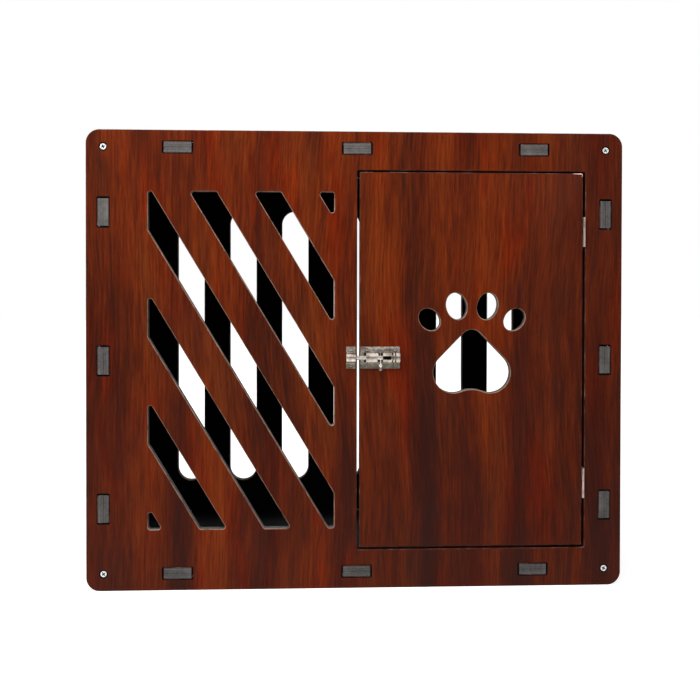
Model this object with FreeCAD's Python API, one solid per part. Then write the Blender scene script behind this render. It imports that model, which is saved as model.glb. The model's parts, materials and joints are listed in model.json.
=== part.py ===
import FreeCAD, Part
import math
import os

from FreeCAD import Rotation, Vector

# Outdoor cat house: six laminated boards that lock together with tabs and slots, a hinged
# door with a paw-shaped window, and a small barrel bolt. Millimetres, +Z up, front towards -Y.
# The origin is on the ground, under the middle of the whole width and depth.

# Cabin
panel_width = 680.0
panel_height = 580.0
cabin_depth = 380.0
board = 15.0
panel_overhang = 14.0
panel_corner_radius = 17.0

# Tabs of the roof, floor and sides, and their slots in the front and back panels
tab_slot_length = 38.0
tab_end_play = 1.75
tab_side_play = 0.1
tab_pitch_across = 226.0
tab_pitch_up = 186.5

# Leaning slots, left half of the front panel
slot_margin = 77.0
door_post_width = 29.0
leaning_slot_width = 29.0
leaning_slot_pitch = 81.0
leaning_slot_count = 7
leaning_slot_angle = 31.0
leaning_slot_shift = -1.3
leaning_slot_corner = 3.0

# Upright slots of the back panel
upright_slot_top_margin = 82.0
upright_slot_width = 41.0
upright_slot_pitch = 81.0
upright_slot_count = 7

# Door
door_margin = 49.0
door_hinge_margin = 47.5
door_opening_width = 292.5
door_gap = 3.1
door_top_gap = 2.1
door_corner_radius = 2.0

# Paw window: heights are measured from the middle of the door, the paw's middle from its width
paw_shift = 0.65
pad_top_radius = 14.8
pad_top_rise = 24.2
pad_lobe_radius = 25.8
pad_lobe_spread = 23.6
pad_lobe_drop = 16.0
pad_notch_radius = 38.0
inner_toe_spread = 19.8
inner_toe_rise = 68.9
inner_toe_width = 26.4
inner_toe_length = 34.4
inner_toe_tilt = 15.0
outer_toe_spread = 54.5
outer_toe_rise = 51.9
outer_toe_width = 24.7
outer_toe_length = 30.8
outer_toe_tilt = 42.0

# Butt hinges in the gap at the right of the door
hinge_height = 38.0
hinge_top_inset = 77.0
hinge_bottom_inset = 83.0
knuckle_diameter = 3.4
knuckle_clearance = 0.35
knuckle_end_gap = 0.25
leaf_thickness = 0.8
leaf_setback = 2.0
pin_play = 0.05
hinge_screw_spacing = 19.0

# Barrel bolt: lengths run along the plate from its end at the gap
latch_rise = 3.6
latch_plate_width = 28.0
latch_plate_thickness = 1.2
latch_plate_inset = 1.1
latch_plate_corner = 1.0
barrel_width = 12.7
barrel_leg_height = 3.4
guide_leg_height = 5.0
guide_crown_rise = 3.0
first_guide_inset = 7.2
first_guide_length = 15.3
knob_window = 6.0
second_guide_length = 11.3
guide_end_wall = 0.7
locking_notch = 1.7
end_ring_length = 2.2
end_ring_gap = 1.4
end_stop_length = 5.0
latch_screw_edge = 4.0
latch_screw_left = 8.8
latch_screw_right = 5.7
latch_screw_head = 4.2
latch_screw_shank = 2.4
press_slit_width = 2.3
press_slit_gap = 0.2
press_slit_low = 2.9
press_slit_high = 6.2

# Bolt rod, knob and keeper
rod_diameter = 5.3
rod_axis_height = 4.4
rod_play = 0.08
rod_tip_chamfer = 0.6
rod_tail_overlap = 1.2
rod_rest_gap = 0.5
rod_throw = 3.0
knob_slot_width = 4.6
knob_clearance = 0.3
stem_diameter = 2.2
stem_play = 0.05
collar_start = 7.6
collar_length = 2.6
collar_radius = 2.1
neck_radius = 1.4
grip_length = 5.6
grip_radius = 3.0
grip_chamfer = 1.1
knob_reach = 17.2
keeper_length = 11.8
keeper_inset = 2.0
keeper_wall = 1.5

# Screws
corner_screw_head = 8.4
corner_screw_shank = 4.0
corner_screw_length = 45.0
hinge_screw_shank = 2.2
hinge_screw_length = 14.0
screw_tip_length = 3.0
screw_tip_cover = 3.0
screw_play = 0.1
corner_screw_sides = 12
small_screw_sides = 8

# How far a cutting solid runs past the face that it starts from
plain_overrun = 1.0

# Places worked out from the sizes above
barrel_height = barrel_leg_height + barrel_width / 2
front_reach = latch_plate_thickness + barrel_height
front_y = -(cabin_depth - front_reach) / 2
front_inner_y = front_y + board
back_y = front_y + cabin_depth
back_inner_y = back_y - board
middle_z = panel_height / 2
half_width = panel_width / 2
side_outer_x = half_width - panel_overhang
side_inner_x = side_outer_x - board
side_middle_x = side_outer_x - board / 2
floor_bottom_z = panel_overhang
floor_top_z = floor_bottom_z + board
roof_top_z = panel_height - panel_overhang
roof_bottom_z = roof_top_z - board
roof_middle_z = roof_top_z - board / 2
floor_middle_z = floor_bottom_z + board / 2
across_tab_places = [-tab_pitch_across, 0.0, tab_pitch_across]
up_tab_places = [middle_z - tab_pitch_up, middle_z, middle_z + tab_pitch_up]

opening_right_x = half_width - door_hinge_margin
opening_left_x = opening_right_x - door_opening_width
opening_bottom_z = door_margin
opening_top_z = panel_height - door_margin
leaning_field_left_x = -half_width + slot_margin
leaning_field_right_x = opening_left_x - door_post_width
knuckle_radius = knuckle_diameter / 2
hinge_x = opening_right_x - knuckle_radius
hinge_proud = knuckle_radius + knuckle_clearance / 2
hinge_y = front_y - hinge_proud
hinge_screw_head = hinge_screw_shank + 2 * leaf_thickness
door_right_x = hinge_x - knuckle_radius
door_left_x = opening_left_x + door_gap
door_bottom_z = opening_bottom_z + door_gap
door_top_z = opening_top_z - door_top_gap
paw_x = (door_left_x + door_right_x) / 2 + paw_shift
hinge_places = {
    "upper": opening_top_z - hinge_top_inset,
    "lower": opening_bottom_z + hinge_bottom_inset,
}

latch_z = middle_z + latch_rise
plate_left_x = door_left_x + latch_plate_inset
first_guide_x = plate_left_x + first_guide_inset
window_x = first_guide_x + first_guide_length
second_guide_x = window_x + knob_window
notch_x = second_guide_x + second_guide_length
end_ring_x = notch_x + locking_notch
end_stop_x = end_ring_x + end_ring_length + end_ring_gap
plate_right_x = end_stop_x + end_stop_length
plate_face_y = front_y - latch_plate_thickness
rod_y = plate_face_y - rod_axis_height
rod_radius = rod_diameter / 2
stem_radius = stem_diameter / 2
knob_x = window_x + knob_window / 2
knob_cut = stem_radius + knob_clearance
keeper_right_x = opening_left_x - keeper_inset
keeper_left_x = keeper_right_x - keeper_length
rod_tip_x = keeper_right_x + rod_rest_gap
rod_tail_x = second_guide_x + rod_tail_overlap
latch_screw_length = latch_plate_thickness + board - screw_tip_cover


def block(x0, x1, y0, y1, z0, z1):
    """A square-cornered solid between two corners."""
    return Part.makeBox(x1 - x0, y1 - y0, z1 - z0, Vector(x0, y0, z0))


def round_upright_corners(solid, radius):
    """Round the corners of a board that are seen from the front."""
    edges = [e for e in solid.Edges if abs(e.tangentAt(e.FirstParameter).y) > 0.999]
    return solid.makeFillet(radius, edges)


def board_cut(edges, y0, y1):
    """The solid that an outline drawn in X and Z takes out of a board."""
    face = Part.Face(Part.Wire(Part.__sortEdges__(edges)))
    face.translate(Vector(0, y0, 0))
    return face.extrude(Vector(0, y1 - y0, 0))


def line(a, b):
    return Part.LineSegment(a, b).toShape()


def arc(a, through, b):
    return Part.Arc(a, through, b).toShape()


def flat(x, z):
    """A point of a drawing seen from the front."""
    return Vector(x, 0, z)


def unit(vector):
    return vector / vector.Length


def many_sided(stations, sides):
    """A solid with flat sides, from its radius at each height downwards, ending in a point."""
    def corner(radius, height, side):
        turn = 2 * math.pi * (side % sides) / sides
        return Vector(radius * math.cos(turn), radius * math.sin(turn), height)

    def face(corners):
        return Part.Face(Part.makePolygon(corners + corners[:1]))

    faces = [face([corner(*stations[0], side) for side in range(sides)])]
    for upper, lower in zip(stations, stations[1:]):
        for side in range(sides):
            corners = [corner(*upper, side), corner(*upper, side + 1)]
            if lower[0]:
                corners.append(corner(*lower, side + 1))
            faces.append(face(corners + [corner(*lower, side)]))
    return Part.Solid(Part.Shell(faces))


def screw(length, head_diameter, shank_diameter, sides, play=0.0):
    """A countersunk screw along -Z with its head flush at Z = 0; with play, its hole."""
    head = head_diameter / 2 + play
    shank = shank_diameter / 2 + play
    sink = (head_diameter - shank_diameter) / 2
    stations = [(head, plain_overrun)] if play else []
    stations += [(head, 0), (shank, -sink), (shank, screw_tip_length - length), (0, -length - play)]
    return many_sided(stations, sides)


def driven(solid, place, direction):
    """Turn a screw or a hole so that it runs the given way from its head."""
    solid = solid.copy()
    solid.Placement = FreeCAD.Placement(place, Rotation(Vector(0, 0, -1), direction))
    return solid


def tab_slots():
    """The twelve slots of the front or back panel, without their depth."""
    half_length = tab_slot_length / 2
    half_board = board / 2 + tab_side_play
    places = [(x, z, half_length, half_board) for x in across_tab_places
              for z in (floor_middle_z, roof_middle_z)]
    places += [(x, z, half_board, half_length) for x in (-side_middle_x, side_middle_x)
               for z in up_tab_places]
    return places


def corner_places():
    return [(x, z) for x in (-side_middle_x, side_middle_x) for z in (floor_middle_z, roof_middle_z)]


def panel_blank(y0, y1):
    """The outline that the front and back panels share, with its tab slots."""
    blank = block(-half_width, half_width, y0, y1, 0, panel_height)
    blank = round_upright_corners(blank, panel_corner_radius)
    slots = [block(x - across, x + across, y0, y1, z - up, z + up) for x, z, across, up in tab_slots()]
    return blank.cut(slots)


def leaning_slots():
    """Parallel slots that run down to the right, trimmed to a rectangle with rounded corners.

    Each is drawn as the path of the cutter's centre and widened by the cutter's radius.
    """
    inset = leaning_slot_corner
    low = slot_margin + inset
    high = panel_height - slot_margin - inset
    field = block(leaning_field_left_x + inset, leaning_field_right_x - inset,
                  front_y, front_inner_y, low, high)
    lean = math.radians(leaning_slot_angle)
    run = (high - low) / 2 * math.tan(lean)
    half_path = (leaning_slot_width / 2 - inset) / math.cos(lean)
    pattern_middle = (leaning_field_left_x + leaning_field_right_x) / 2 + leaning_slot_shift
    slots = []
    for index in range(leaning_slot_count):
        middle = pattern_middle + (index - (leaning_slot_count - 1) / 2) * leaning_slot_pitch
        corners = [flat(middle - run - half_path, high), flat(middle - run + half_path, high),
                   flat(middle + run + half_path, low), flat(middle + run - half_path, low)]
        path = Part.Face(Part.makePolygon(corners + corners[:1]))
        path.translate(Vector(0, front_y, 0))
        for trimmed in path.common(field).Faces:
            slots.append(trimmed.makeOffset2D(inset).extrude(Vector(0, board, 0)))
    return slots


def upright_slots():
    """A row of round-ended upright slots, centred across the back panel."""
    radius = upright_slot_width / 2
    low = slot_margin + radius
    high = panel_height - upright_slot_top_margin - radius
    slots = []
    for index in range(upright_slot_count):
        x = (index - (upright_slot_count - 1) / 2) * upright_slot_pitch
        edges = [
            line(flat(x - radius, low), flat(x - radius, high)),
            arc(flat(x - radius, high), flat(x, high + radius), flat(x + radius, high)),
            line(flat(x + radius, high), flat(x + radius, low)),
            arc(flat(x + radius, low), flat(x, low - radius), flat(x - radius, low)),
        ]
        slots.append(board_cut(edges, back_inner_y, back_y))
    return slots


def tangent_line_ends(centre_a, radius_a, centre_b, radius_b, side):
    """Where the outer tangent of two circles touches them, left (-1) or right (+1) of the paw."""
    along = centre_b - centre_a
    heading = math.atan2(along.z, along.x)
    normal = heading + side * math.acos((radius_a - radius_b) / along.Length)
    outward = flat(math.cos(normal), math.sin(normal))
    return centre_a + outward * radius_a, centre_b + outward * radius_b


def paw_pad():
    """Round top, straight shoulders, two round lobes and a shallow notch between them."""
    top = flat(paw_x, middle_z + pad_top_rise)
    lobe_z = middle_z - pad_lobe_drop
    notch_drop = math.sqrt((pad_lobe_radius + pad_notch_radius) ** 2 - pad_lobe_spread ** 2)
    notch = flat(paw_x, lobe_z - notch_drop)
    edges = []
    shoulders = []
    for side in (-1, 1):
        lobe = flat(paw_x + side * pad_lobe_spread, lobe_z)
        shoulder, flank = tangent_line_ends(top, pad_top_radius, lobe, pad_lobe_radius, side)
        meeting = lobe + unit(notch - lobe) * pad_lobe_radius
        outermost = unit(unit(flank - lobe) + unit(meeting - lobe)) * pad_lobe_radius
        edges.append(line(shoulder, flank))
        edges.append(arc(flank, lobe + outermost, meeting))
        shoulders.append((shoulder, meeting))
    (left_shoulder, left_meeting), (right_shoulder, right_meeting) = shoulders
    edges.append(arc(left_shoulder, top + flat(0, pad_top_radius), right_shoulder))
    edges.append(arc(left_meeting, notch + flat(0, pad_notch_radius), right_meeting))
    return board_cut(edges, front_y, front_inner_y)


def paw_toe(side, spread, rise, width, length, tilt):
    """An oval that leans away from the middle of the paw."""
    centre = flat(paw_x + side * spread, middle_z + rise)
    lean = math.radians(tilt)
    along = flat(side * math.sin(lean), math.cos(lean)) * (length / 2)
    across = flat(math.cos(lean), -side * math.sin(lean)) * (width / 2)
    oval = Part.Ellipse(centre + along, centre + across, centre)
    return board_cut([oval.toShape()], front_y, front_inner_y)


def paw_window():
    cuts = [paw_pad()]
    for side in (-1, 1):
        cuts.append(paw_toe(side, inner_toe_spread, inner_toe_rise, inner_toe_width,
                            inner_toe_length, inner_toe_tilt))
        cuts.append(paw_toe(side, outer_toe_spread, outer_toe_rise, outer_toe_width,
                            outer_toe_length, outer_toe_tilt))
    return cuts


def corner_screws(face_y, inward):
    solid = screw(corner_screw_length, corner_screw_head, corner_screw_shank, corner_screw_sides)
    return [driven(solid, Vector(x, face_y, z), inward) for x, z in corner_places()]


def corner_screw_holes(face_y, inward):
    solid = screw(corner_screw_length, corner_screw_head, corner_screw_shank, corner_screw_sides, screw_play)
    return [driven(solid, Vector(x, face_y, z), inward) for x, z in corner_places()]


def across_board(z0, z1):
    """Roof or floor: full width over the sides, three tabs to the front and three to the back."""
    solid = block(-side_outer_x, side_outer_x, front_inner_y, back_inner_y, z0, z1)
    half_tab = tab_slot_length / 2 - tab_end_play
    tabs = [block(x - half_tab, x + half_tab, front_y, back_y, z0, z1) for x in across_tab_places]
    return solid.fuse(tabs).removeSplitter()


def side_board(x0, x1):
    """Side: stands on the floor and carries the roof, three tabs to the front and to the back."""
    solid = block(x0, x1, front_inner_y, back_inner_y, floor_top_z, roof_bottom_z)
    half_tab = tab_slot_length / 2 - tab_end_play
    tabs = [block(x0, x1, front_y, back_y, z - half_tab, z + half_tab) for z in up_tab_places]
    return solid.fuse(tabs).removeSplitter()


def hinge_leaf(side, knuckle_spans, middle):
    """One leaf: flat on the edge of its board (side +1 frame, -1 door), rolled round the pin."""
    low = middle - hinge_height / 2
    high = middle + hinge_height / 2
    faces = sorted([hinge_x + side * knuckle_radius, hinge_x + side * (knuckle_radius - leaf_thickness)])
    inner_end = front_y + board - leaf_setback
    plate_start = hinge_y + knuckle_radius + knuckle_clearance
    leaf = block(faces[0], faces[1], plate_start, inner_end, low, high)
    for z0, z1 in knuckle_spans:
        strip = block(faces[0], faces[1], hinge_y, plate_start, z0, z1)
        barrel = Part.makeCylinder(knuckle_radius, z1 - z0, Vector(hinge_x, hinge_y, z0))
        leaf = leaf.fuse([strip, barrel])
    bore = Part.makeCylinder(knuckle_radius - leaf_thickness, hinge_height, Vector(hinge_x, hinge_y, low))
    return leaf.removeSplitter().cut(bore)


def hinge_screw_places(side, middle):
    face = hinge_x + side * (knuckle_radius - leaf_thickness)
    offsets = (-hinge_screw_spacing / 2, hinge_screw_spacing / 2)
    return [Vector(face, front_y + board / 2, middle + offset) for offset in offsets]


def hinge_screws(side, middle, play=0.0):
    solid = screw(hinge_screw_length, hinge_screw_head, hinge_screw_shank, small_screw_sides, play)
    return [driven(solid, place, Vector(side, 0, 0)) for place in hinge_screw_places(side, middle)]


def hinge(middle):
    """Frame leaf with the outer knuckles, door leaf with the middle one, and the pin."""
    low = middle - hinge_height / 2
    third = hinge_height / 3
    half_gap = knuckle_end_gap / 2
    outer_spans = [(low, low + third - half_gap), (low + 2 * third + half_gap, low + hinge_height)]
    middle_span = [(low + third + half_gap, low + 2 * third - half_gap)]
    frame_leaf = hinge_leaf(1, outer_spans, middle).cut(hinge_screws(1, middle, screw_play))
    door_leaf = hinge_leaf(-1, middle_span, middle).cut(hinge_screws(-1, middle, screw_play))
    pin_radius = knuckle_radius - leaf_thickness - pin_play
    pin = Part.makeCylinder(pin_radius, hinge_height, Vector(hinge_x, hinge_y, low))
    return frame_leaf, door_leaf, pin


def barrel_arch(x0, x1, leg_height, crown_rise, inset=0.0):
    """A round-topped arch standing on the latch plate, or the space inside one of that wall."""
    half = barrel_width / 2 - inset
    shoulder_y = plate_face_y - leg_height
    low_foot = Vector(x0, plate_face_y, latch_z - half)
    low_shoulder = Vector(x0, shoulder_y, latch_z - half)
    crown = Vector(x0, shoulder_y - crown_rise + inset, latch_z)
    high_shoulder = Vector(x0, shoulder_y, latch_z + half)
    high_foot = Vector(x0, plate_face_y, latch_z + half)
    edges = [line(low_foot, low_shoulder), arc(low_shoulder, crown, high_shoulder),
             line(high_shoulder, high_foot), line(high_foot, low_foot)]
    return Part.Face(Part.Wire(edges)).extrude(Vector(x1 - x0, 0, 0))


def rod_bore(x0, x1, radius):
    return Part.makeCylinder(radius, x1 - x0, Vector(x0, rod_y, latch_z), Vector(1, 0, 0))


def latch_plate(x0, x1):
    half = latch_plate_width / 2
    plate = block(x0, x1, plate_face_y, front_y, latch_z - half, latch_z + half)
    return round_upright_corners(plate, latch_plate_corner)


def latch_screw_rows(columns):
    reach = latch_plate_width / 2 - latch_screw_edge
    return [Vector(x, plate_face_y, z) for x in columns for z in (latch_z - reach, latch_z + reach)]


def latch_screws(columns, play=0.0):
    solid = screw(latch_screw_length, latch_screw_head, latch_screw_shank, small_screw_sides, play)
    return [driven(solid, place, Vector(0, 1, 0)) for place in latch_screw_rows(columns)]


def press_slits():
    """Slits in the plate beside the ends of the guides, left where the guides were pressed out."""
    width = press_slit_width
    gap = press_slit_gap
    ring_end = end_ring_x + end_ring_length
    spans = [(first_guide_x - gap - width, first_guide_x - gap), (window_x + gap, window_x + gap + width),
             (second_guide_x - gap - width, second_guide_x - gap), (notch_x + gap, end_ring_x - gap),
             (ring_end + gap, end_stop_x - gap)]
    slits = []
    for x0, x1 in spans:
        for low, high in ((press_slit_low, press_slit_high), (-press_slit_high, -press_slit_low)):
            slits.append(block(x0, x1, plate_face_y, front_y, latch_z + low, latch_z + high))
    return slits


def latch_base():
    """Plate with two bored guides, a ring and an end stop; the knob's way is cut in the guides."""
    plate = latch_plate(plate_left_x, plate_right_x)
    spans = [(first_guide_x, window_x), (second_guide_x, notch_x),
             (end_ring_x, end_ring_x + end_ring_length), (end_stop_x, plate_right_x)]
    arches = [barrel_arch(x0, x1, guide_leg_height, guide_crown_rise) for x0, x1 in spans]
    solid = plate.fuse(arches).removeSplitter()
    beyond = plate_face_y - barrel_height - plain_overrun
    below = latch_z - barrel_width / 2 - plain_overrun
    slot_end = notch_x - guide_end_wall
    half_slot = knob_slot_width / 2
    outward_way = block(second_guide_x, slot_end, beyond, rod_y, latch_z - half_slot, latch_z + half_slot)
    hanging_way = block(second_guide_x, slot_end, rod_y - knob_cut, rod_y + knob_cut, below, latch_z)
    thrown_x = knob_x - rod_throw - knob_cut
    thrown_way = block(thrown_x, window_x, beyond, rod_y + knob_cut, below, latch_z + knob_cut)
    bore = rod_bore(first_guide_x, end_stop_x, rod_radius + rod_play)
    return solid.cut([outward_way, hanging_way, thrown_way, bore] + press_slits())


def latch_keeper():
    """Plate with a bent strap, open underneath, that the rod's tip goes into."""
    plate = latch_plate(keeper_left_x, keeper_right_x)
    span = (keeper_left_x, keeper_right_x, barrel_leg_height, barrel_width / 2)
    strap = barrel_arch(*span).cut(barrel_arch(*span, keeper_wall))
    return plate.fuse(strap).removeSplitter()


def bolt_rod():
    rod = rod_bore(rod_tip_x, rod_tail_x, rod_radius)
    tip = [e for e in rod.Edges if e.Closed and e.CenterOfMass.x < knob_x]
    return rod.makeChamfer(rod_tip_chamfer, tip)


def latch_knob():
    """Stem, collar, neck and grip turned from one piece, hanging from the rod."""
    collar_end = collar_start + collar_length
    grip_start = knob_reach - grip_length
    turned = [flat(0, 0), flat(stem_radius, 0), flat(stem_radius, -collar_start),
              flat(collar_radius, -collar_start), flat(collar_radius, -collar_end),
              flat(neck_radius, -collar_end), flat(neck_radius, -grip_start),
              flat(grip_radius - grip_chamfer, -grip_start), flat(grip_radius, -grip_start - grip_chamfer),
              flat(grip_radius, -knob_reach + grip_chamfer), flat(grip_radius - grip_chamfer, -knob_reach),
              flat(0, -knob_reach)]
    outline = Part.makePolygon(turned + turned[:1])
    knob = Part.Face(outline).revolve(Vector(0, 0, 0), Vector(0, 0, 1), 360)
    knob.translate(Vector(knob_x, rod_y, latch_z))
    saddle = rod_bore(knob_x - knob_reach, knob_x + knob_reach, rod_radius + stem_play)
    return knob.cut(saddle).Solids[0]


inward = Vector(0, 1, 0)
outward = Vector(0, -1, 0)
front_holes = corner_screw_holes(front_y, inward)
back_holes = corner_screw_holes(back_y, outward)
plate_screw_columns = [plate_left_x + latch_screw_left, plate_right_x - latch_screw_right]
keeper_screw_columns = [(keeper_left_x + keeper_right_x) / 2]
frame_hinge_holes = [hole for z in hinge_places.values() for hole in hinge_screws(1, z, screw_play)]
door_hinge_holes = [hole for z in hinge_places.values() for hole in hinge_screws(-1, z, screw_play)]

door_opening = block(opening_left_x, opening_right_x, front_y, front_inner_y, opening_bottom_z, opening_top_z)
door_opening = round_upright_corners(door_opening, door_corner_radius)
door_blank = block(door_left_x, door_right_x, front_y, front_inner_y, door_bottom_z, door_top_z)
door_blank = round_upright_corners(door_blank, door_corner_radius)

front_cuts = leaning_slots() + [door_opening] + front_holes + frame_hinge_holes
front_cuts += latch_screws(keeper_screw_columns, screw_play)
door_cuts = paw_window() + door_hinge_holes + latch_screws(plate_screw_columns, screw_play)

pieces = {
    "front_panel": panel_blank(front_y, front_inner_y).cut(front_cuts),
    "back_panel": panel_blank(back_inner_y, back_y).cut(upright_slots() + back_holes),
    "left_side_panel": side_board(-side_outer_x, -side_inner_x),
    "right_side_panel": side_board(side_inner_x, side_outer_x),
    "roof_panel": across_board(roof_bottom_z, roof_top_z).cut(front_holes + back_holes),
    "floor_panel": across_board(floor_bottom_z, floor_top_z).cut(front_holes + back_holes),
    "front_corner_screws": Part.makeCompound(corner_screws(front_y, inward)),
    "back_corner_screws": Part.makeCompound(corner_screws(back_y, outward)),
    "door_panel": door_blank.cut(door_cuts),
    "latch_base": latch_base().cut(latch_screws(plate_screw_columns, screw_play)),
    "latch_base_screws": Part.makeCompound(latch_screws(plate_screw_columns)),
    "latch_keeper": latch_keeper().cut(latch_screws(keeper_screw_columns, screw_play)),
    "latch_keeper_screws": Part.makeCompound(latch_screws(keeper_screw_columns)),
    "latch_bolt_rod": bolt_rod(),
    "latch_knob": latch_knob(),
}
for place, height in hinge_places.items():
    frame_leaf, door_leaf, pin = hinge(height)
    pieces[place + "_hinge_frame_leaf"] = frame_leaf
    pieces[place + "_hinge_door_leaf"] = door_leaf
    pieces[place + "_hinge_pin"] = pin
    pieces[place + "_hinge_frame_screws"] = Part.makeCompound(hinge_screws(1, height))
    pieces[place + "_hinge_door_screws"] = Part.makeCompound(hinge_screws(-1, height))

os.makedirs("parts", exist_ok=True)
for name, shape in pieces.items():
    shape.exportStep(os.path.join("parts", name + ".step"))
    print(name, len(shape.Solids), "solids", round(shape.Volume, 2), "mm3", shape.isValid())
print("hinge axis", hinge_x, hinge_y)
print("rod axis", rod_y, latch_z, "knob", knob_x)
print("slide", -rod_throw, notch_x - guide_end_wall - knob_cut - knob_x)
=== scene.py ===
import json
import math

import bmesh
import bpy
from mathutils import Matrix, Vector
from mathutils.geometry import tessellate_polygon


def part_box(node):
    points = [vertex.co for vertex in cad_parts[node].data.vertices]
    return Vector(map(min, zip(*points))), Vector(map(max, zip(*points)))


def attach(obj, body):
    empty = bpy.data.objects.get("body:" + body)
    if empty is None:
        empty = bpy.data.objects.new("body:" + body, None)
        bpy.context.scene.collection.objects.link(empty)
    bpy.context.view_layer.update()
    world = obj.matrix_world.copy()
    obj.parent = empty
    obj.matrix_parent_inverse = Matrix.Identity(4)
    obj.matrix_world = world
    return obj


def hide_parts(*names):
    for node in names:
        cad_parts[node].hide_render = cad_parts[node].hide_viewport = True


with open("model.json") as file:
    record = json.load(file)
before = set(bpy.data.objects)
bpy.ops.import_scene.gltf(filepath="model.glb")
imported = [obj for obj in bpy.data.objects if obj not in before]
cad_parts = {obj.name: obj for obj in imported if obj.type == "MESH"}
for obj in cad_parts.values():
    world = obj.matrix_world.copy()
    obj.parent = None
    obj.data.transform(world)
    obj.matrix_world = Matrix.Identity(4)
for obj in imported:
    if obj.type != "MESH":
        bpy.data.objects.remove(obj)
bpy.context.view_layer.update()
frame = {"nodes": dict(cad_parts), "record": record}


# Floor: a 15 mm board with a layered grey core, faced outside with a printed mahogany film and
# inside with plain black film. It is sawn to size, which leaves the core bare at the edges, and
# three tabs at each end go through the slots of the front and back panels.

class Grain:
    """A socket in a material's node tree. Arithmetic on it adds Math nodes."""

    def __init__(self, tree, socket=None):
        self.tree = tree
        self.socket = socket

    def node(self, kind, settings=None, inputs=None, output=0):
        """Any node: its settings come first, then the values or links of its sockets."""
        made = self.tree.nodes.new("ShaderNode" + kind)
        for name, value in (settings or {}).items():
            if name == "stops":
                ramp = made.color_ramp
                while len(ramp.elements) < len(value):
                    ramp.elements.new(1.0)
                for element, (position, colour) in zip(ramp.elements, value):
                    element.position = position
                    element.color = (*colour, 1.0)
            else:
                setattr(made, name, value)
        for key, value in (inputs or {}).items():
            if isinstance(value, Grain):
                self.tree.links.new(value.socket, made.inputs[key])
            else:
                made.inputs[key].default_value = value
        return Grain(self.tree, made.outputs[output])

    def maths(self, operation, *values):
        return self.node("Math", {"operation": operation}, dict(enumerate(values)))

    def __add__(self, other):
        return self.maths("ADD", self, other)

    def __sub__(self, other):
        return self.maths("SUBTRACT", self, other)

    def __mul__(self, other):
        return self.maths("MULTIPLY", self, other)

    def __rsub__(self, other):
        return self.maths("SUBTRACT", other, self)

    __radd__ = __add__
    __rmul__ = __mul__

    def part(self, axis):
        """One axis of a place: 0, 1 or 2."""
        return self.node("SeparateXYZ", inputs={0: self}, output=axis)

    def between(self, low, high):
        """0 below low, 1 above high and a soft slope between them."""
        return self.node("MapRange", {"interpolation_type": "SMOOTHSTEP"},
                         {"Value": self, "From Min": low, "From Max": high})

    def ramp(self, stops):
        return self.node("ValToRGB", {"stops": stops}, {0: self})

    def tint(self, share, colour):
        """This colour, mixed towards another by a share."""
        return self.node("Mix", {"data_type": "RGBA"},
                         {0: share, 6: self, 7: (*colour, 1.0)}, output=2)

    def dyed(self, share, factors):
        """This colour, with its red, green and blue multiplied by a share of the factors."""
        return self.node("Mix", {"data_type": "RGBA", "blend_type": "MULTIPLY"},
                         {0: share, 6: self, 7: (*factors, 1.0)}, output=2)

    def cloud(self, x, y, z, detail=2.0, roughness=0.5):
        """Smooth noise at a place that is already scaled."""
        place = self.node("CombineXYZ", inputs={0: x, 1: y, 2: z})
        return self.node("TexNoise", inputs={"Vector": place, "Scale": 1.0, "Detail": detail,
                                             "Roughness": roughness})


def paint(red, green, blue):
    """A colour read on a screen, as the light that the surface gives back."""
    def light(level):
        level /= 255
        return level / 12.92 if level <= 0.04045 else ((level + 0.055) / 1.055) ** 2.4
    return light(red), light(green), light(blue)


def finish(name, metallic=0.0, specular=0.5):
    """A new material, a way into its node tree, its shader and the places on the piece."""
    material = bpy.data.materials.new(name)
    material.use_nodes = True
    shader = material.node_tree.nodes["Principled BSDF"]
    shader.inputs["Metallic"].default_value = metallic
    shader.inputs["Specular IOR Level"].default_value = specular
    tree = Grain(material.node_tree)
    return material, tree, shader, tree.node("TexCoord", output="Object")


def coat(tree, shader, colour, roughness, height, depth):
    """Lead a colour, a roughness and a relief into the shader."""
    tree.tree.links.new(colour.socket, shader.inputs["Base Color"])
    tree.tree.links.new(roughness.socket, shader.inputs["Roughness"])
    relief = tree.node("Bump", inputs={"Height": height, "Distance": depth, "Strength": 1.0})
    tree.tree.links.new(relief.socket, shader.inputs["Normal"])


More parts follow.
